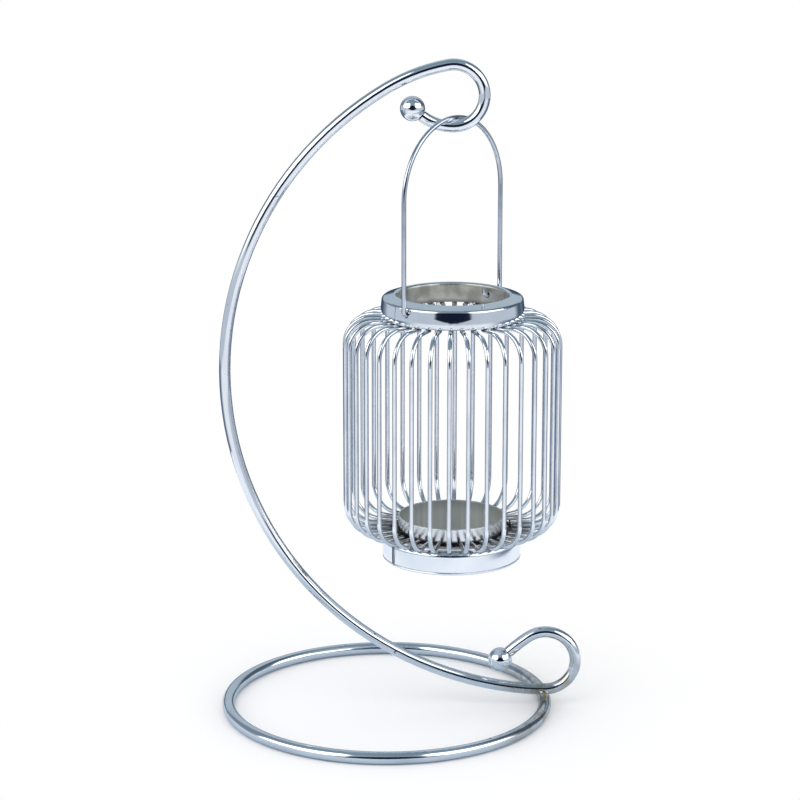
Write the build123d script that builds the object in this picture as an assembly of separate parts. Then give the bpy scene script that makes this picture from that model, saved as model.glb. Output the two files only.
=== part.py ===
from build123d import *
import math
import os

# Hanging tealight lantern on a crescent wire stand, all bright-plated steel.
#
# Frame: millimetres, +Z up.  The origin is the centre of the base ring on the surface it
# rests on.  The stand lies in the plane Y = 0; the crescent opens towards +X.
#
# Three bodies: the stand (base ring, bent arm, two balls), the bail that hangs over the
# lower turn of the arm's top curl, and the lantern (collar, cage wires, foot, candle cup)
# that turns on the hooked ends of the bail.

# ---------------------------------------------------------------- driving dimensions, mm
# base ring
ring_radius = 66.8            # to the middle of the rod
ring_wire = 5.2

# arm: one bent rod, given as the bends it goes through from the base ring upwards
arm_wire = 4.7
foot_bend_radius = 106.0
foot_bend_turn = 7.5
crescent_radius = 137.3
crescent_turn = 141.5
shoulder_radius = 74.0
shoulder_turn = 20.5
top_curl_radius = 12.5
top_curl_turn = 189.3
top_tail_radius = 20.3
top_tail_turn = 39.0
# ... and from the base ring into the lower curl
low_curl_radius = 12.7
low_curl_turn = 215.0
low_tail_radius = 75.0
low_tail_turn = 8.0

# ball finials, drilled to take a spigot turned on each end of the arm
ball_diameter = 10.1
spigot_diameter = 2.5
spigot_length = 3.0
spigot_clearance = 0.05       # on the radius
socket_spare_depth = 0.3

# brazing where the arm crosses the base ring
bead_radius = 0.8
bead_length = 2.6
bead_side_offset = 2.1
bead_lift = 0.45

# bail
bail_wire = 1.9
bail_height = 76.3            # pivot line to the middle of the wire at the top of the arch
bail_azimuth = 49.5           # direction of the pivot line, degrees from +X
bail_hook_bend = 1.5
bail_hook_rise = 3.2          # turned-up end of each hook, above the pivot line
bail_hook_reach = 1.8         # from the collar's bore to the middle of the turned-up end
bail_side_clearance = 0.35    # leg to collar
hang_clearance = 0.25         # bail to arm
pin_clearance = 0.35          # bail hook to collar hole, on the radius

# collar: pressed channel ring, open below, its top rising towards the bore
collar_radius = 29.4
collar_bore_radius = 22.6
collar_height = 9.6
collar_wall = 0.9
collar_hem_radius = 27.7      # inner edge of the hem the cage wires are welded to
collar_hem_corner = 1.1
collar_upright = 3.4          # height at which the outer wall starts to lean in
collar_lean = 0.45
collar_lean_radius = 22.0
collar_shoulder_height = 7.8
collar_shoulder_corner = 1.4
collar_inner_corner = 1.2
collar_inner_lift = 0.9       # the inner wall stops this far above the hem
pivot_above_collar_foot = 5.0

# cage
cage_wire_count = 36
cage_wire = 1.8
cage_radius = 44.1            # to the middle of the upright wires
cage_height = 89.1            # between the middles of the top and bottom runs
cage_bend = 11.0
cage_end_radius = 25.5        # inner ends of both runs
cage_phase = 7.5              # azimuth of the first wire, degrees

# foot: rolled and necked band with a butt seam, closed below by a disc
foot_radius = 28.75
foot_neck_radius = 26.2
foot_neck_height = 1.9
foot_neck_corner = 0.5
foot_shoulder_corner = 1.9
foot_band_height = 10.4
foot_band_wall = 0.9
foot_band_edge = 0.3
foot_seam_width = 0.25
foot_seam_azimuth = 211.7
foot_disc_thickness = 0.9
foot_disc_edge = 0.3

# candle cup for a standard 38 mm tealight
cup_radius = 22.3
cup_height = 16.7
cup_wall = 0.8
cup_corner = 2.2
cup_lip = 0.35


# ------------------------------------------------------------------------------- helpers
def round_wire(path, diameter):
    """A round wire of the given diameter along a path."""
    section = Plane(origin=path @ 0, z_dir=path % 0) * Circle(diameter / 2)
    return sweep(section, path=path)


def turned(profile):
    """A full turn of a profile drawn in the XZ plane about the Z axis."""
    return revolve(profile, Axis.Z)


def chain(start, heading, bends):
    """Tangent arcs from a start point.  Each bend is (radius, turn), left turns positive."""
    arcs = []
    point, direction = start, heading
    for radius, turn in bends:
        arc = JernArc(point, direction, radius, turn)
        arcs.append(arc)
        point, direction = arc @ 1, arc % 1
    return arcs


# --------------------------------------------------------------------------------- stand
# The arm lies on top of the base ring at the ring's +X side.
weld_x = ring_radius
weld_z = ring_wire + arm_wire / 2

# Both chains are drawn flat, with Y standing for height, and stood up in the XZ plane.
upward = chain(
    (weld_x, weld_z),
    (-1, 0),
    [
        (foot_bend_radius, -foot_bend_turn),
        (crescent_radius, -crescent_turn),
        (shoulder_radius, -shoulder_turn),
        (top_curl_radius, -top_curl_turn),
        (top_tail_radius, -top_tail_turn),
    ],
)
downward = chain(
    (weld_x, weld_z),
    (1, 0),
    [(low_curl_radius, low_curl_turn), (low_tail_radius, low_tail_turn)],
)
top_curl = upward[3]
top_end, top_direction = upward[-1] @ 1, upward[-1] % 1
low_end, low_direction = downward[-1] @ 1, downward[-1] % 1

# The lantern hangs at the lowest point of the top curl, below the curl's centre.
hang_x = top_curl.arc_center.X
hang_z = top_curl.arc_center.Y - top_curl_radius

ball_radius = ball_diameter / 2
socket_radius = spigot_diameter / 2 + spigot_clearance
ball_seat = math.sqrt(ball_radius**2 - socket_radius**2)


def end_frame(point, direction):
    """A plane at an end of the arm, looking out along it."""
    return Plane(origin=(point.X, 0, point.Y), z_dir=(direction.X, 0, direction.Y))


top_frame = end_frame(top_end, top_direction)
low_frame = end_frame(low_end, low_direction)


def make_base_ring():
    return Pos(0, 0, ring_wire / 2) * Torus(ring_radius, ring_wire / 2)


def make_arm():
    path = Plane.XZ * Wire([arc.edge() for arc in reversed(downward)] + [arc.edge() for arc in upward])
    spigot = Pos(0, 0, spigot_length / 2) * Cylinder(spigot_diameter / 2, spigot_length)
    return round_wire(path, arm_wire) + top_frame * spigot + low_frame * spigot


def make_ball(frame):
    socket_depth = spigot_length + socket_spare_depth
    ball = Pos(0, 0, ball_seat) * Sphere(ball_radius)
    socket = Pos(0, 0, socket_depth / 2) * Cylinder(socket_radius, socket_depth)
    clear_mouth = Pos(0, 0, -ball_radius / 2) * Cylinder(socket_radius, ball_radius)
    return frame * (ball - socket - clear_mouth)


def make_braze_beads(base_ring, arm):
    beads = []
    for side in (-1, 1):
        middle = Pos(weld_x, side * bead_side_offset, ring_wire + bead_lift)
        bead = middle * Rot(0, 90, 0) * Cylinder(bead_radius, bead_length - 2 * bead_radius)
        for end in (-1, 1):
            bead += middle * Pos(end * (bead_length / 2 - bead_radius), 0, 0) * Sphere(bead_radius)
        beads.append(bead - base_ring - arm)
    return Compound(children=[solid for bead in beads for solid in bead.solids()])


# ---------------------------------------------------------------------------------- bail
bail_top_z = hang_z + arm_wire / 2 + hang_clearance + bail_wire / 2
pivot_z = bail_top_z - bail_height
bail_leg = collar_radius + bail_side_clearance + bail_wire / 2
bail_hook_end = collar_bore_radius - bail_hook_reach
axis_x = math.cos(math.radians(bail_azimuth))
axis_y = math.sin(math.radians(bail_azimuth))
bail_plane = Plane(origin=(hang_x, 0, pivot_z), x_dir=(axis_x, axis_y, 0), z_dir=(axis_y, -axis_x, 0))


def make_bail():
    arch_z = bail_height - bail_leg
    leg = FilletPolyline(
        (bail_hook_end, bail_hook_rise),
        (bail_hook_end, 0),
        (bail_leg, 0),
        (bail_leg, arch_z),
        radius=bail_hook_bend,
    )
    arch = ThreePointArc((bail_leg, arch_z), (0, bail_height), (-bail_leg, arch_z))
    other_leg = mirror(leg, about=Plane.YZ)
    path = bail_plane * Wire(leg.edges() + [arch.edge()] + other_leg.edges())
    return round_wire(path, bail_wire)


# ------------------------------------------------------------------------------- lantern
lantern_axis = Pos(hang_x, 0, 0)
collar_foot_z = pivot_z - pivot_above_collar_foot
collar_top_z = collar_foot_z + collar_height
cage_top_z = collar_foot_z - cage_wire / 2
cage_bottom_z = cage_top_z - cage_height
band_top_z = cage_bottom_z - cage_wire / 2
band_bottom_z = band_top_z - foot_band_height
disc_bottom_z = band_bottom_z - foot_disc_thickness


def make_collar():
    sheet = FilletPolyline(
        (collar_hem_radius, collar_foot_z),
        (collar_radius, collar_foot_z),
        (collar_radius, collar_foot_z + collar_upright),
        (collar_radius - collar_lean, collar_foot_z + collar_shoulder_height),
        (collar_bore_radius, collar_top_z),
        (collar_bore_radius, collar_foot_z + collar_inner_lift),
        radius=(collar_hem_corner, collar_lean_radius, collar_shoulder_corner, collar_inner_corner),
    )
    section = make_face(offset(sheet, collar_wall, side=Side.LEFT, closed=True).edges())
    collar = lantern_axis * turned(Plane.XZ * section)
    pin_hole = Cylinder(bail_wire / 2 + pin_clearance, 3 * collar_radius, rotation=(0, 90, 0))
    return collar - Pos(hang_x, 0, pivot_z) * Rot(0, 0, bail_azimuth) * pin_hole


def make_cage_wire(azimuth):
    path = Plane.XZ * FilletPolyline(
        (cage_end_radius, cage_bottom_z),
        (cage_radius, cage_bottom_z),
        (cage_radius, cage_top_z),
        (cage_end_radius, cage_top_z),
        radius=cage_bend,
    )
    return lantern_axis * Rot(0, 0, azimuth) * round_wire(path, cage_wire)


def make_foot_band():
    sheet = FilletPolyline(
        (foot_radius, band_bottom_z),
        (foot_radius, band_top_z - foot_neck_height),
        (foot_neck_radius, band_top_z - foot_neck_height),
        (foot_neck_radius, band_top_z),
        radius=(foot_shoulder_corner, foot_neck_corner),
    )
    section = make_face(offset(sheet, foot_band_wall, side=Side.LEFT, closed=True).edges())
    lower_outer_corner = section.vertices().sort_by(Axis.Y)[:2].sort_by(Axis.X)[-1]
    band = turned(Plane.XZ * fillet(lower_outer_corner, foot_band_edge))
    seam_depth = foot_radius - foot_neck_radius + 2 * foot_band_wall
    seam = Box(2 * seam_depth, foot_seam_width, 2 * foot_band_height)
    seam_place = Rot(0, 0, foot_seam_azimuth) * Pos(foot_radius, 0, (band_top_z + band_bottom_z) / 2)
    return lantern_axis * (band - seam_place * seam)


def make_foot_disc():
    disc = Cylinder(foot_radius, foot_disc_thickness)
    disc = fillet(disc.edges().filter_by(GeomType.CIRCLE), foot_disc_edge)
    return lantern_axis * Pos(0, 0, disc_bottom_z + foot_disc_thickness / 2) * disc


def make_candle_cup():
    floor_z = band_bottom_z
    rim_z = floor_z + cup_height
    inner_radius = cup_radius - cup_wall
    inner_corner = cup_corner - cup_wall
    outside = Pos(0, 0, (floor_z + rim_z) / 2) * Cylinder(cup_radius, cup_height)
    outside = fillet(outside.edges().group_by(Axis.Z)[0], cup_corner)
    inside = Pos(0, 0, (floor_z + rim_z) / 2 + cup_wall) * Cylinder(inner_radius, cup_height)
    inside = fillet(inside.edges().group_by(Axis.Z)[0], inner_corner)
    cup = outside - inside
    return lantern_axis * fillet(cup.edges().group_by(Axis.Z)[-1], cup_lip)


# --------------------------------------------------------------------------------- parts
base_ring = make_base_ring()
arm = make_arm()
parts = {
    "base_ring": base_ring,
    "crescent_arm": arm,
    "top_ball": make_ball(top_frame),
    "low_ball": make_ball(low_frame),
    "braze_beads": make_braze_beads(base_ring, arm),
    "bail": make_bail(),
    "collar": make_collar(),
    "foot_band": make_foot_band(),
    "foot_disc": make_foot_disc(),
    "candle_cup": make_candle_cup(),
}
for number in range(cage_wire_count):
    azimuth = cage_phase + number * 360 / cage_wire_count
    parts[f"cage_wire_{number + 1:02d}"] = make_cage_wire(azimuth)

os.makedirs("parts", exist_ok=True)
for name, shape in parts.items():
    export_step(shape, f"parts/{name}.step")

print(f"hanging point x {hang_x:.3f} z {hang_z:.3f}, pivot z {pivot_z:.3f}")
print(f"collar {collar_foot_z:.3f} to {collar_top_z:.3f}, foot disc underside {disc_bottom_z:.3f}")
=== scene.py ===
import math

import bmesh
import bpy
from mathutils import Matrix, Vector


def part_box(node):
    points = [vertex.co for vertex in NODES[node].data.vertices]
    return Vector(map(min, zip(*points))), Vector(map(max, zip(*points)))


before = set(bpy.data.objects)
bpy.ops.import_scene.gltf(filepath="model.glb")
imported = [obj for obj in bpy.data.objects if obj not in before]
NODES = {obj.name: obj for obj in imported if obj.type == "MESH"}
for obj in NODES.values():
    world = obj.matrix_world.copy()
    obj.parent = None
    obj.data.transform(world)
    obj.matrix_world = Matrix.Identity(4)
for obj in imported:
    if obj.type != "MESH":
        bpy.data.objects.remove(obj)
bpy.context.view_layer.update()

MM = 0.001

# ------------------------------------------------------------------ places taken from the frame
collar_low, collar_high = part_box("collar")
_, band_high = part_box("foot_band")
ring_low, ring_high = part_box("base_ring")
plate_low, plate_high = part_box("foot_disc")
cup_low, cup_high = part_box("candle_cup")
lantern_axis = (collar_low + collar_high) / 2
collar_radius = (collar_high.x - collar_low.x) / 2
ring_radius = (ring_high.x - ring_low.x) / 2
plate_radius = (plate_high.x - plate_low.x) / 2
cup_radius = (cup_high.x - cup_low.x) / 2
CAGE_WIRES = [name for name in NODES if name.startswith("cage_wire_")]

# Where the foot band's open butt seam is, seen from above, and the soft edge of half its width.
SEAM_AZIMUTH = math.radians(211.7)
SEAM_EDGE = (0.45 * MM, 0.6 * MM)

# The collar and the foot band share a material.  These heights, in the air between the two,
# tell one from the other.
BETWEEN_SHEETS = (collar_low.z - 3 * MM, collar_low.z - 2 * MM)

# ------------------------------------------------------------------------------------ colours
WHITE = (1.0, 1.0, 1.0)
CHROME = (0.88, 0.90, 0.93)
CHROME_DULL = (0.72, 0.76, 0.82)
BAIL_STEEL = (0.64, 0.68, 0.74)
BAIL_DULL = (0.40, 0.44, 0.50)
SATIN_WARM = (0.60, 0.59, 0.53)
SATIN_DARK = (0.36, 0.35, 0.31)
SATIN_GREY = (0.66, 0.68, 0.66)
CUP_STREAK = (0.56, 0.59, 0.57)
# Painted shade inside the cup, under its rim.
CUP_PAINTED_SHADE = (0.30, 0.34, 0.33)
# Painted shade for the well under the cup, on the plate and at the cup's foot.
PAINTED_WELL_SHADE = (0.055, 0.060, 0.055)
PAINTED_WELL_SHADE_PALE = (0.13, 0.13, 0.12)
HEAT_TINT = (0.48, 0.43, 0.35)
# Weld staining on the wires' lower ends; the same colour is painted shade on the wires' upper ends,
# the collar's hem and the top of the foot band.
WELD_STAIN_AND_PAINTED_SHADE = (0.15, 0.13, 0.11)
SEAM_DARK = (0.015, 0.03, 0.08)
BRASS = (0.60, 0.50, 0.32)
BRASS_DARK = (0.36, 0.27, 0.18)
SPECK = (0.07, 0.07, 0.09)

FLOOR_WHITE = (0.95, 0.95, 0.96)
FLOOR_NEAR_IN_GLOSS = (0.52, 0.61, 0.70)
FLOOR_FAR_IN_GLOSS = (0.86, 0.91, 0.97)
ROOM_WHITE = (0.95, 0.95, 0.95)
FRONT_WALL = (0.24, 0.32, 0.38)
LEFT_WALL = (0.19, 0.235, 0.315)
RIGHT_WALL = (0.08, 0.11, 0.15)
BACK_WALL = (0.42, 0.50, 0.57)
LOW_WALL = (0.54, 0.60, 0.68)
CEILING = (0.19, 0.28, 0.34)
FRONT_GROUND = (0.88, 0.92, 0.98)
SIDE_GROUND = (0.12, 0.17, 0.26)
BACK_GROUND = (0.07, 0.10, 0.16)
BACK_HORIZON = (0.045, 0.08, 0.13)
SOFT_BOX = (2.0, 2.02, 2.05)
DARK_DESK = (0.008, 0.012, 0.03)


def rgba(value):
    """A colour of three numbers with its alpha added; anything else as it is."""
    if isinstance(value, tuple) and len(value) == 3:
        return (*value, 1.0)
    return value


# ------------------------------------------------------------------------------- node helpers
class Nodes:
    """A small builder for node trees: each call adds what it names and returns its output."""

    def __init__(self, tree):
        self.tree = tree

    def new(self, kind, **settings):
        node = self.tree.nodes.new(kind)
        for key, value in settings.items():
            setattr(node, key, value)
        return node

    def plug(self, value, socket):
        if isinstance(value, bpy.types.NodeSocket):
            self.tree.links.new(value, socket)
        else:
            socket.default_value = value

    def math(self, operation, *values):
        node = self.new("ShaderNodeMath", operation=operation)
        for value, socket in zip(values, node.inputs):
            self.plug(value, socket)
        return node.outputs[0]

    def add(self, first, second):
        return self.math("ADD", first, second)

    def subtract(self, first, second):
        return self.math("SUBTRACT", first, second)

    def multiply(self, first, second):
        return self.math("MULTIPLY", first, second)

    def hypotenuse(self, first, second):
        squares = [self.math("POWER", leg, 2.0) for leg in (first, second)]
        return self.math("SQRT", self.add(*squares))

    def smooth(self, value, low, high, to_low, to_high):
        """Goes smoothly from to_low, at a value of low, to to_high, at a value of high."""
        node = self.new("ShaderNodeMapRange", interpolation_type="SMOOTHSTEP")
        for entry, socket in zip((value, low, high, to_low, to_high), node.inputs):
            self.plug(entry, socket)
        return node.outputs[0]

    def rise(self, value, start, full, amount=1.0):
        """0 up to start, then smoothly up to the amount at full."""
        return self.smooth(value, start, full, 0.0, amount)

    def fade(self, value, full, gone, amount=1.0):
        """The amount up to full, then smoothly down to 0 at gone."""
        return self.smooth(value, full, gone, amount, 0.0)

    def between(self, value, low, high, blur):
        """1 where the value lies between low and high, with soft ends."""
        return self.multiply(self.rise(value, low - blur, low + blur),
                             self.fade(value, high - blur, high + blur))

    def below(self, value, limit, blur):
        """1 where the value is under a limit that itself varies, with a soft edge."""
        return self.fade(self.subtract(value, limit), -blur, blur)

    def mix(self, factor, first, second):
        node = self.new("ShaderNodeMix", data_type="RGBA")
        self.plug(factor, node.inputs[0])
        self.plug(rgba(first), node.inputs[6])
        self.plug(rgba(second), node.inputs[7])
        return node.outputs[2]

    def xyz(self, vector):
        node = self.new("ShaderNodeSeparateXYZ")
        self.plug(vector, node.inputs[0])
        return node.outputs

    def noise(self, vector, scale, detail=3.0, roughness=0.5):
        node = self.new("ShaderNodeTexNoise")
        self.plug(vector, node.inputs["Vector"])
        self.plug(scale, node.inputs["Scale"])
        self.plug(detail, node.inputs["Detail"])
        self.plug(roughness, node.inputs["Roughness"])
        return node.outputs[0]

    def drawn_out(self, vector, z_scale):
        """The same place with its height scaled down, so that noise there is drawn out along Z."""
        node = self.new("ShaderNodeMapping")
        self.plug(vector, node.inputs["Vector"])
        self.plug((1.0, 1.0, z_scale), node.inputs["Scale"])
        return node.outputs[0]

    def from_lantern_axis(self, x, y):
        return self.hypotenuse(self.subtract(x, lantern_axis.x), y)


# ---------------------------------------------------------------------------------- materials
BUMP_DISTANCE = 0.2 * MM


def new_material(name):
    material = bpy.data.materials.new(name)
    material.use_nodes = True
    material.node_tree.nodes.clear()
    nodes = Nodes(material.node_tree)
    place = nodes.new("ShaderNodeTexCoord").outputs["Object"]
    return material, nodes, place


def finish_metal(nodes, color, roughness, height, bump_strength, metallic=1.0):
    """Ends a material's tree: one metal shader, with its bump from a height."""
    shader = nodes.new("ShaderNodeBsdfPrincipled")
    nodes.plug(color, shader.inputs["Base Color"])
    nodes.plug(roughness, shader.inputs["Roughness"])
    nodes.plug(metallic, shader.inputs["Metallic"])
    bump = nodes.new("ShaderNodeBump")
    nodes.plug(bump_strength, bump.inputs["Strength"])
    nodes.plug(BUMP_DISTANCE, bump.inputs["Distance"])
    nodes.plug(height, bump.inputs["Height"])
    nodes.plug(bump.outputs[0], shader.inputs["Normal"])
    output = nodes.new("ShaderNodeOutputMaterial")
    nodes.plug(shader.outputs[0], output.inputs["Surface"])


def plated_rod(name, haze):
    """Bright plating on the thick rod: long soft waves, a few drips, heat tint near the braze."""
    material, nodes, place = new_material(name)
    x, _, z = nodes.xyz(place)
    cloud = nodes.noise(place, scale=28.0, detail=4.0)
    waves = nodes.noise(place, scale=70.0, detail=1.0)
    color = nodes.mix(nodes.rise(cloud, start=0.4, full=0.75), CHROME, CHROME_DULL)

    from_braze = nodes.hypotenuse(nodes.subtract(x, ring_radius), nodes.subtract(z, ring_high.z))
    patches = nodes.noise(place, scale=190.0)
    patchy = nodes.smooth(patches, low=0.35, high=0.65, to_low=0.3, to_high=1.0)
    tint = nodes.multiply(nodes.fade(from_braze, full=6 * MM, gone=30 * MM, amount=0.9), patchy)
    color = nodes.mix(tint, color, HEAT_TINT)

    drip = nodes.rise(nodes.noise(place, scale=230.0, roughness=0.6), start=0.70, full=0.74)
    color = nodes.mix(drip, color, SPECK)

    polish = nodes.smooth(cloud, low=0.3, high=0.8, to_low=0.03 + haze, to_high=0.07 + haze)
    tint_roughness = nodes.multiply(tint, 0.12)
    drip_height = nodes.multiply(drip, 0.5)
    finish_metal(nodes, color, nodes.add(polish, tint_roughness), nodes.add(waves, drip_height),
                 bump_strength=0.03)
    return material


def plated_wire(name, bright, darker_tone):
    """Bright plating on the thin drawn wire, darker at its lower end from weld staining and painted
    shade, and painted shade at its upper end in the collar.
    """
    material, nodes, place = new_material(name)
    x, y, z = nodes.xyz(place)
    radius = nodes.from_lantern_axis(x, y)
    cloud = nodes.noise(place, scale=60.0, detail=4.0)
    waves = nodes.noise(nodes.drawn_out(place, z_scale=0.5), scale=160.0, detail=1.0)
    grain = nodes.noise(nodes.drawn_out(place, z_scale=0.15), scale=700.0, detail=2.0)
    color = nodes.mix(nodes.rise(cloud, start=0.4, full=0.75), bright, darker_tone)

    # The lower end, inside the foot, is darkened: part weld staining, part painted shade.
    over_foot = nodes.fade(z, full=band_high.z + 3 * MM, gone=band_high.z + 7 * MM)
    near_foot = nodes.fade(radius, full=29 * MM, gone=38 * MM, amount=0.85)
    low_stain_and_shade = nodes.multiply(over_foot, near_foot)
    # Painted shade on the upper end, where the wire runs into the collar's channel.
    under_collar = nodes.between(z, collar_low.z - 4 * MM, collar_low.z + 1 * MM, blur=1 * MM)
    near_collar = nodes.fade(radius, full=27.5 * MM, gone=29.5 * MM, amount=0.95)
    painted_collar_shade = nodes.multiply(under_collar, near_collar)
    patches = nodes.noise(place, scale=260.0)
    patchy = nodes.smooth(patches, low=0.3, high=0.65, to_low=0.6, to_high=1.0)
    stain_and_shade = nodes.multiply(nodes.add(low_stain_and_shade, painted_collar_shade), patchy)
    color = nodes.mix(stain_and_shade, color, WELD_STAIN_AND_PAINTED_SHADE)

    polish = nodes.smooth(cloud, low=0.3, high=0.8, to_low=0.09, to_high=0.13)
    grain_roughness = nodes.rise(grain, start=0.5, full=0.75, amount=0.04)
    finish_metal(nodes, color, nodes.add(polish, grain_roughness), waves, bump_strength=0.08)
    return material


def butt_seam(nodes, x, y, z):
    """1 in the foot band's open seam: an upright stripe on one side of the lantern's axis."""
    out_x = math.cos(SEAM_AZIMUTH)
    out_y = math.sin(SEAM_AZIMUTH)
    from_axis = nodes.subtract(x, lantern_axis.x)
    along = nodes.add(nodes.multiply(from_axis, out_x), nodes.multiply(y, out_y))
    across = nodes.subtract(nodes.multiply(from_axis, out_y), nodes.multiply(y, out_x))
    stripe = nodes.fade(nodes.math("ABSOLUTE", across), *SEAM_EDGE)
    one_side = nodes.multiply(stripe, nodes.math("GREATER_THAN", along, 0.0))
    return nodes.multiply(one_side, nodes.math("LESS_THAN", z, band_high.z + 1 * MM))


def plated_sheet():
    """Bright plating on the collar and the foot band, satin and warm on the collar's inner wall;
    painted shade low on that wall and along the top of the band.
    """
    material, nodes, place = new_material("plated_sheet")
    x, y, z = nodes.xyz(place)
    radius = nodes.from_lantern_axis(x, y)
    cloud = nodes.noise(place, scale=45.0, detail=4.0)
    blotch = nodes.noise(place, scale=130.0)
    grain = nodes.noise(place, scale=1400.0)

    in_bore = nodes.fade(radius, full=collar_radius - 6.7 * MM, gone=collar_radius - 6.4 * MM)
    inside = nodes.multiply(in_bore, nodes.rise(z, *BETWEEN_SHEETS))
    bright = nodes.mix(nodes.rise(cloud, start=0.35, full=0.8), CHROME, CHROME_DULL)
    satin = nodes.mix(nodes.rise(blotch, start=0.38, full=0.68), SATIN_WARM, SATIN_DARK)
    # Painted shade: the satin inner wall darkens towards its lower edge, inside the collar's hem.
    painted_hem_shade = nodes.fade(z, full=collar_low.z + 0.6 * MM, gone=collar_low.z + 3 * MM,
                            amount=0.85)
    satin = nodes.mix(painted_hem_shade, satin, WELD_STAIN_AND_PAINTED_SHADE)
    color = nodes.mix(inside, bright, satin)

    # Painted shadow: a dark line along the top of the foot band, under the wires.
    top_of_band = nodes.rise(z, start=band_high.z - 1.4 * MM, full=band_high.z - 0.8 * MM)
    painted_band_top_shade = nodes.multiply(top_of_band, nodes.fade(z, *BETWEEN_SHEETS, amount=0.9))
    color = nodes.mix(painted_band_top_shade, color, WELD_STAIN_AND_PAINTED_SHADE)
    color = nodes.mix(butt_seam(nodes, x, y, z), color, SEAM_DARK)

    polish = nodes.smooth(cloud, low=0.3, high=0.8, to_low=0.04, to_high=0.09)
    bore_roughness = nodes.multiply(inside, 0.26)
    soft_waves = nodes.multiply(cloud, 0.5)
    height = nodes.add(nodes.multiply(inside, grain), soft_waves)
    metallic = nodes.smooth(inside, low=0.0, high=1.0, to_low=1.0, to_high=0.8)
    finish_metal(nodes, color, nodes.add(polish, bore_roughness), height, bump_strength=0.12,
                 metallic=metallic)
    return material


def foot_plate():
    """The plate under the cup: bright at its edge, painted near black inside as the shade in the
    well, satin underneath.
    """
    material, nodes, place = new_material("foot_plate")
    x, y, z = nodes.xyz(place)
    radius = nodes.from_lantern_axis(x, y)
    cloud = nodes.noise(place, scale=90.0, detail=4.0)
    grain = nodes.noise(place, scale=900.0)

    on_top = nodes.rise(z, start=plate_high.z - 0.4 * MM, full=plate_high.z - 0.2 * MM)
    off_edge = nodes.fade(radius, full=plate_radius - 2 * MM, gone=plate_radius - 1 * MM)
    face = nodes.multiply(on_top, off_edge)
    # Painted shade: the top face inside the edge is coloured near black, for the shade in the well
    # under the cup.
    darker_tone = nodes.mix(nodes.rise(cloud, start=0.35, full=0.7), PAINTED_WELL_SHADE, PAINTED_WELL_SHADE_PALE)
    color = nodes.mix(face, CHROME, darker_tone)

    underside = nodes.fade(z, full=plate_low.z + 0.05 * MM, gone=plate_low.z + 0.2 * MM)
    satin_roughness = nodes.multiply(nodes.add(face, underside), 0.3)
    polish = nodes.smooth(grain, low=0.3, high=0.7, to_low=0.06, to_high=0.16)
    metallic = nodes.smooth(face, low=0.0, high=1.0, to_low=1.0, to_high=0.7)
    finish_metal(nodes, color, nodes.add(satin_roughness, polish), grain, bump_strength=0.05,
                 metallic=metallic)
    return material


def cup_sheet():
    """The candle cup: bright outside with painted shade at its foot, satin grey inside with faint
    drawing streaks up its wall and painted shade under the rim.
    """
    material, nodes, place = new_material("cup_sheet")
    x, y, z = nodes.xyz(place)
    radius = nodes.from_lantern_axis(x, y)
    streaks = nodes.noise(nodes.drawn_out(place, z_scale=0.06), scale=420.0)
    cloud = nodes.noise(place, scale=50.0, detail=4.0)

    in_wall = nodes.fade(radius, full=cup_radius - 0.55 * MM, gone=cup_radius - 0.35 * MM)
    over_floor = nodes.rise(z, start=cup_low.z + 0.3 * MM, full=cup_low.z + 0.6 * MM)
    inside = nodes.multiply(in_wall, over_floor)
    satin = nodes.mix(nodes.rise(streaks, start=0.3, full=0.7), SATIN_GREY, CUP_STREAK)
    # Painted shade on the inner wall, darker towards the rim.
    painted_rim_shade = nodes.rise(z, start=cup_high.z - 6 * MM, full=cup_high.z, amount=0.65)
    satin = nodes.mix(painted_rim_shade, satin, CUP_PAINTED_SHADE)

    bright = nodes.mix(nodes.rise(cloud, start=0.3, full=0.8), CHROME, SATIN_GREY)
    # Painted shade on the outside near the foot, where it stands in the dark well.
    painted_foot_shade = nodes.fade(z, full=cup_low.z + 1.5 * MM, gone=cup_low.z + 5 * MM, amount=0.85)
    bright = nodes.mix(painted_foot_shade, bright, PAINTED_WELL_SHADE)
    color = nodes.mix(inside, bright, satin)

    polish = nodes.smooth(cloud, low=0.3, high=0.8, to_low=0.20, to_high=0.26)
    satin_roughness = nodes.multiply(inside, 0.15)
    metallic = nodes.smooth(inside, low=0.0, high=1.0, to_low=1.0, to_high=0.6)
    finish_metal(nodes, color, nodes.add(polish, satin_roughness), streaks, bump_strength=0.06,
                 metallic=metallic)
    return material


def braze():
    """Lumpy brass beads where the arm crosses the ring."""
    material, nodes, place = new_material("braze")
    lumps = nodes.noise(place, scale=1200.0)
    color = nodes.mix(nodes.rise(lumps, start=0.35, full=0.7), BRASS, BRASS_DARK)
    roughness = nodes.smooth(lumps, low=0.3, high=0.7, to_low=0.28, to_high=0.5)
    finish_metal(nodes, color, roughness, lumps, bump_strength=0.5)
    return material


def dress(material, names):
    """Gives CAD nodes a material, shaded smooth."""
    for name in names:
        data = NODES[name].data
        data.materials.clear()
        data.materials.append(material)
        for polygon in data.polygons:
            polygon.use_smooth = True


# -------------------------------------------------------------------------------------- floor
# Radii are in metres.  A pair says where a change starts and where it is complete.
FLOOR_RADIUS = 0.28
FLOOR_SEGMENTS = 96
RUN_OUT_EDGE = (0.06, 0.16)
GLOSS_EDGE = (0.10, 0.20)


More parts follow.
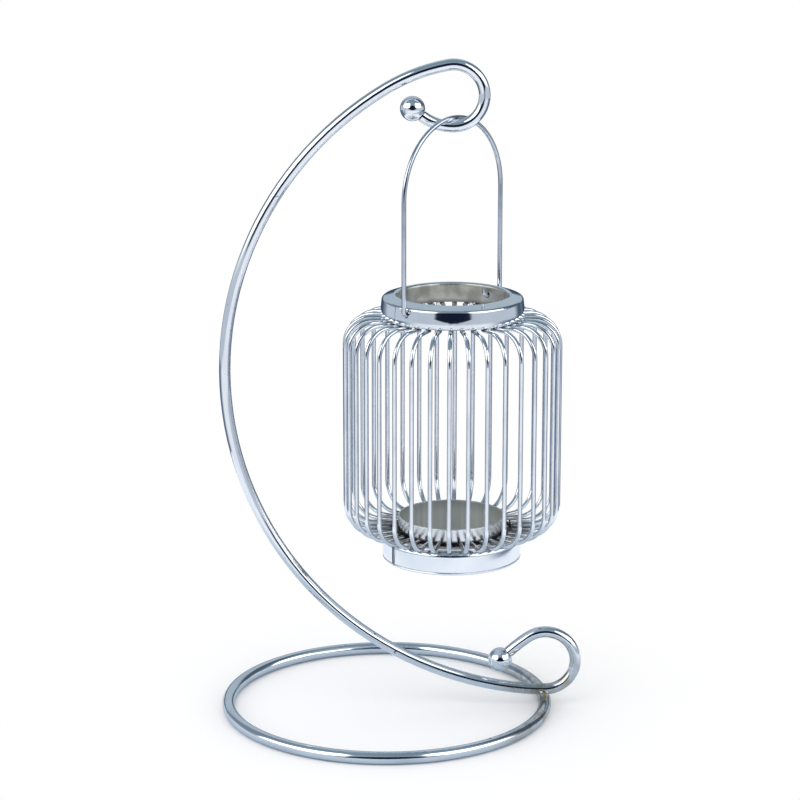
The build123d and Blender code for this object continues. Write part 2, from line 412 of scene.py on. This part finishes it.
def floor_material():
    """A matt white floor.  Away from the object it runs out into the white background."""
    material, nodes, place = new_material("floor")
    x, y, _ = nodes.xyz(place)
    radius = nodes.hypotenuse(x, y)
    rays = nodes.new("ShaderNodeLightPath")
    in_gloss = nodes.mix(nodes.rise(radius, *GLOSS_EDGE), FLOOR_NEAR_IN_GLOSS, FLOOR_FAR_IN_GLOSS)
    color = nodes.mix(rays.outputs["Is Glossy Ray"], FLOOR_WHITE, in_gloss)
    matt = nodes.new("ShaderNodeBsdfDiffuse")
    nodes.plug(color, matt.inputs["Color"])
    glow = nodes.new("ShaderNodeEmission")
    nodes.plug(rgba(WHITE), glow.inputs["Color"])
    run_out = nodes.multiply(rays.outputs["Is Camera Ray"], nodes.rise(radius, *RUN_OUT_EDGE))
    both = nodes.new("ShaderNodeMixShader")
    for value, socket in zip((run_out, matt.outputs[0], glow.outputs[0]), both.inputs):
        nodes.plug(value, socket)
    output = nodes.new("ShaderNodeOutputMaterial")
    nodes.plug(both.outputs[0], output.inputs["Surface"])
    return material


def make_floor():
    mesh = bpy.data.meshes.new("floor")
    shape = bmesh.new()
    bmesh.ops.create_circle(shape, cap_ends=True, segments=FLOOR_SEGMENTS, radius=FLOOR_RADIUS)
    shape.to_mesh(mesh)
    shape.free()
    mesh.materials.append(floor_material())
    floor = bpy.data.objects.new("floor", mesh)
    bpy.context.scene.collection.objects.link(floor)


# --------------------------------------------------------------------------------------- room
# All angles are in degrees.  Azimuth is 0 in front, where the camera stands, and grows to the
# right; side is its size, up to 180 behind the object; height is 0 at the horizon.  A pair
# called an edge or a corner says where one surface starts to turn into the next and where it has.
LEFT_TO_RIGHT = (-20.0, 20.0)
FRONT_CORNER = (95.0, 115.0)
BACK_CORNER = (138.0, 152.0)
CEILING_EDGE = (50.0, 72.0)
GROUND_EDGE = (-12.3, -10.3)
FRONT_GROUND_EDGE = (49.0, 100.0)
HORIZON_BAND = (-18.0, 8.0)
HORIZON_BLUR = 3.0

# A low pale wall along the front and the sides.
LOW_WALL_EDGE = (5.0, 12.0)
LOW_WALL_LEFT_END = 134.0
LOW_WALL_RIGHT_END = 122.0
LOW_WALL_BLUR = 8.0

# Two soft boxes: above a knee their front edges lean to the sides, and their tops slope down
# towards the back.
BOX_FRONT = 28.0
BOX_FRONT_BLUR = 2.0
BOX_KNEE = 45.0
BOX_LEAN = 1.2
BOX_BACK_EDGE = (96.0, 100.0)
BOX_BOTTOM_EDGE = (3.0, 17.0)
BOX_TOP_IN_FRONT = 76.0
BOX_TOP_SLOPE = 0.45
BOX_TOP_BLUR = 1.5

# A dark desk in front: its top falls from the middle to its ends, and its bottom is a bowl.
DESK_END = (38.0, 42.0)
DESK_SHOULDER = (6.0, 40.0)
DESK_MIDDLE_TOP = 36.0
DESK_END_TOP = 9.0
DESK_TOP_BLUR = 1.5
DESK_BOTTOM_BLUR = 1.2
BOWL_DEPTH = -9.2
BOWL_SLOPE = 0.16
BOWL_CURVE = 0.0043


def room_color(nodes, azimuth, side, height):
    """Plain walls, ceiling and ground; low down, paler in front and dark behind."""
    to_right = nodes.rise(azimuth, *LEFT_TO_RIGHT)
    to_back = nodes.rise(side, *BACK_CORNER)
    side_wall = nodes.mix(to_right, LEFT_WALL, RIGHT_WALL)
    wall = nodes.mix(nodes.rise(side, *FRONT_CORNER), FRONT_WALL, side_wall)
    wall = nodes.mix(to_back, wall, BACK_WALL)
    low_wall_end = nodes.smooth(to_right, 0.0, 1.0, LOW_WALL_LEFT_END, LOW_WALL_RIGHT_END)
    low_wall = nodes.multiply(nodes.below(side, low_wall_end, LOW_WALL_BLUR),
                              nodes.fade(height, *LOW_WALL_EDGE))
    wall = nodes.mix(low_wall, wall, LOW_WALL)
    ground = nodes.mix(nodes.rise(side, *FRONT_GROUND_EDGE), FRONT_GROUND, SIDE_GROUND)
    ground = nodes.mix(to_back, ground, BACK_GROUND)
    color = nodes.mix(nodes.rise(height, *CEILING_EDGE), wall, CEILING)
    color = nodes.mix(nodes.fade(height, *GROUND_EDGE), color, ground)
    behind = nodes.multiply(to_back, nodes.between(height, *HORIZON_BAND, HORIZON_BLUR))
    return nodes.mix(behind, color, BACK_HORIZON)


def soft_boxes(nodes, side, height):
    """1 in two wide soft boxes, one at each side."""
    above_knee = nodes.math("MAXIMUM", nodes.subtract(height, BOX_KNEE), 0.0)
    front_edge = nodes.add(nodes.multiply(above_knee, BOX_LEAN), BOX_FRONT)
    past_front = nodes.rise(nodes.subtract(side, front_edge), -BOX_FRONT_BLUR, BOX_FRONT_BLUR)
    wide = nodes.multiply(past_front, nodes.fade(side, *BOX_BACK_EDGE))
    top = nodes.subtract(BOX_TOP_IN_FRONT, nodes.multiply(side, BOX_TOP_SLOPE))
    high = nodes.multiply(nodes.rise(height, *BOX_BOTTOM_EDGE),
                          nodes.below(height, top, BOX_TOP_BLUR))
    return nodes.multiply(wide, high)


def dark_desk(nodes, side, height):
    """1 in the dark desk in front of the object."""
    top = nodes.smooth(side, *DESK_SHOULDER, DESK_MIDDLE_TOP, DESK_END_TOP)
    slope = nodes.add(nodes.multiply(side, BOWL_CURVE), BOWL_SLOPE)
    bottom = nodes.add(nodes.multiply(slope, side), BOWL_DEPTH)
    high = nodes.subtract(nodes.below(height, top, DESK_TOP_BLUR),
                          nodes.below(height, bottom, DESK_BOTTOM_BLUR))
    return nodes.multiply(nodes.fade(side, *DESK_END), nodes.math("MAXIMUM", high, 0.0))


def make_world():
    """White for the camera, pale for diffuse light, and a plain studio for everything else."""
    world = bpy.data.worlds.new("studio")
    bpy.context.scene.world = world
    world.use_nodes = True
    world.node_tree.nodes.clear()
    nodes = Nodes(world.node_tree)
    x, y, z = nodes.xyz(nodes.new("ShaderNodeTexCoord").outputs["Generated"])
    to_degrees = 180 / math.pi
    turn = nodes.math("ARCTAN2", x, nodes.multiply(y, -1.0))
    azimuth = nodes.multiply(turn, to_degrees)
    side = nodes.math("ABSOLUTE", azimuth)
    height = nodes.multiply(nodes.math("ARCSINE", z), to_degrees)

    color = room_color(nodes, azimuth, side, height)
    color = nodes.mix(soft_boxes(nodes, side, height), color, SOFT_BOX)
    color = nodes.mix(dark_desk(nodes, side, height), color, DARK_DESK)
    rays = nodes.new("ShaderNodeLightPath")
    color = nodes.mix(rays.outputs["Is Diffuse Ray"], color, ROOM_WHITE)
    color = nodes.mix(rays.outputs["Is Camera Ray"], color, WHITE)
    around = nodes.new("ShaderNodeBackground")
    nodes.plug(color, around.inputs["Color"])
    output = nodes.new("ShaderNodeOutputWorld")
    nodes.plug(around.outputs[0], output.inputs["Surface"])


# ---------------------------------------------------------------------------- lamp and camera
LAMP_PLACE = Vector((-0.5, -0.7, 1.3))
LAMP_TARGET = Vector((0.0, 0.0, 0.1))
LAMP_SIZE = 0.9
LAMP_POWER = 2.0
CAMERA_PLACE = (5.6 * MM, -1112.0 * MM, 413.2 * MM)
CAMERA_LOOKS_DOWN = 14.12
CAMERA_LENS = 125.3
CAMERA_SENSOR = 36.0
CAMERA_CLIP_START = 0.05


def make_lamp():
    """One soft lamp, high at the left front, that gloss doesn't show."""
    data = bpy.data.lights.new("top_box", "AREA")
    data.shape = "SQUARE"
    data.size = LAMP_SIZE
    data.energy = LAMP_POWER
    lamp = bpy.data.objects.new("top_box", data)
    bpy.context.scene.collection.objects.link(lamp)
    lamp.location = LAMP_PLACE
    lamp.rotation_euler = (LAMP_TARGET - LAMP_PLACE).to_track_quat("-Z", "Y").to_euler()
    lamp.visible_glossy = False


def make_camera():
    data = bpy.data.cameras.new("camera")
    data.sensor_width = CAMERA_SENSOR
    data.lens = CAMERA_LENS
    data.clip_start = CAMERA_CLIP_START
    camera = bpy.data.objects.new("camera", data)
    bpy.context.scene.collection.objects.link(camera)
    camera.location = CAMERA_PLACE
    camera.rotation_euler = (math.radians(90.0 - CAMERA_LOOKS_DOWN), 0.0, 0.0)
    bpy.context.scene.camera = camera


# -------------------------------------------------------------------------------------- build
dress(plated_rod("arm_rod", haze=0.0), ["crescent_arm", "top_ball", "low_ball"])
dress(plated_rod("ring_rod", haze=0.05), ["base_ring"])
dress(plated_wire("cage_wire", CHROME, CHROME_DULL), CAGE_WIRES)
dress(plated_wire("bail_wire", BAIL_STEEL, BAIL_DULL), ["bail"])
dress(plated_sheet(), ["collar", "foot_band"])
dress(foot_plate(), ["foot_disc"])
dress(cup_sheet(), ["candle_cup"])
dress(braze(), ["braze_beads"])
make_floor()
make_world()
make_lamp()
make_camera()

bpy.context.scene.view_settings.view_transform = "Standard"
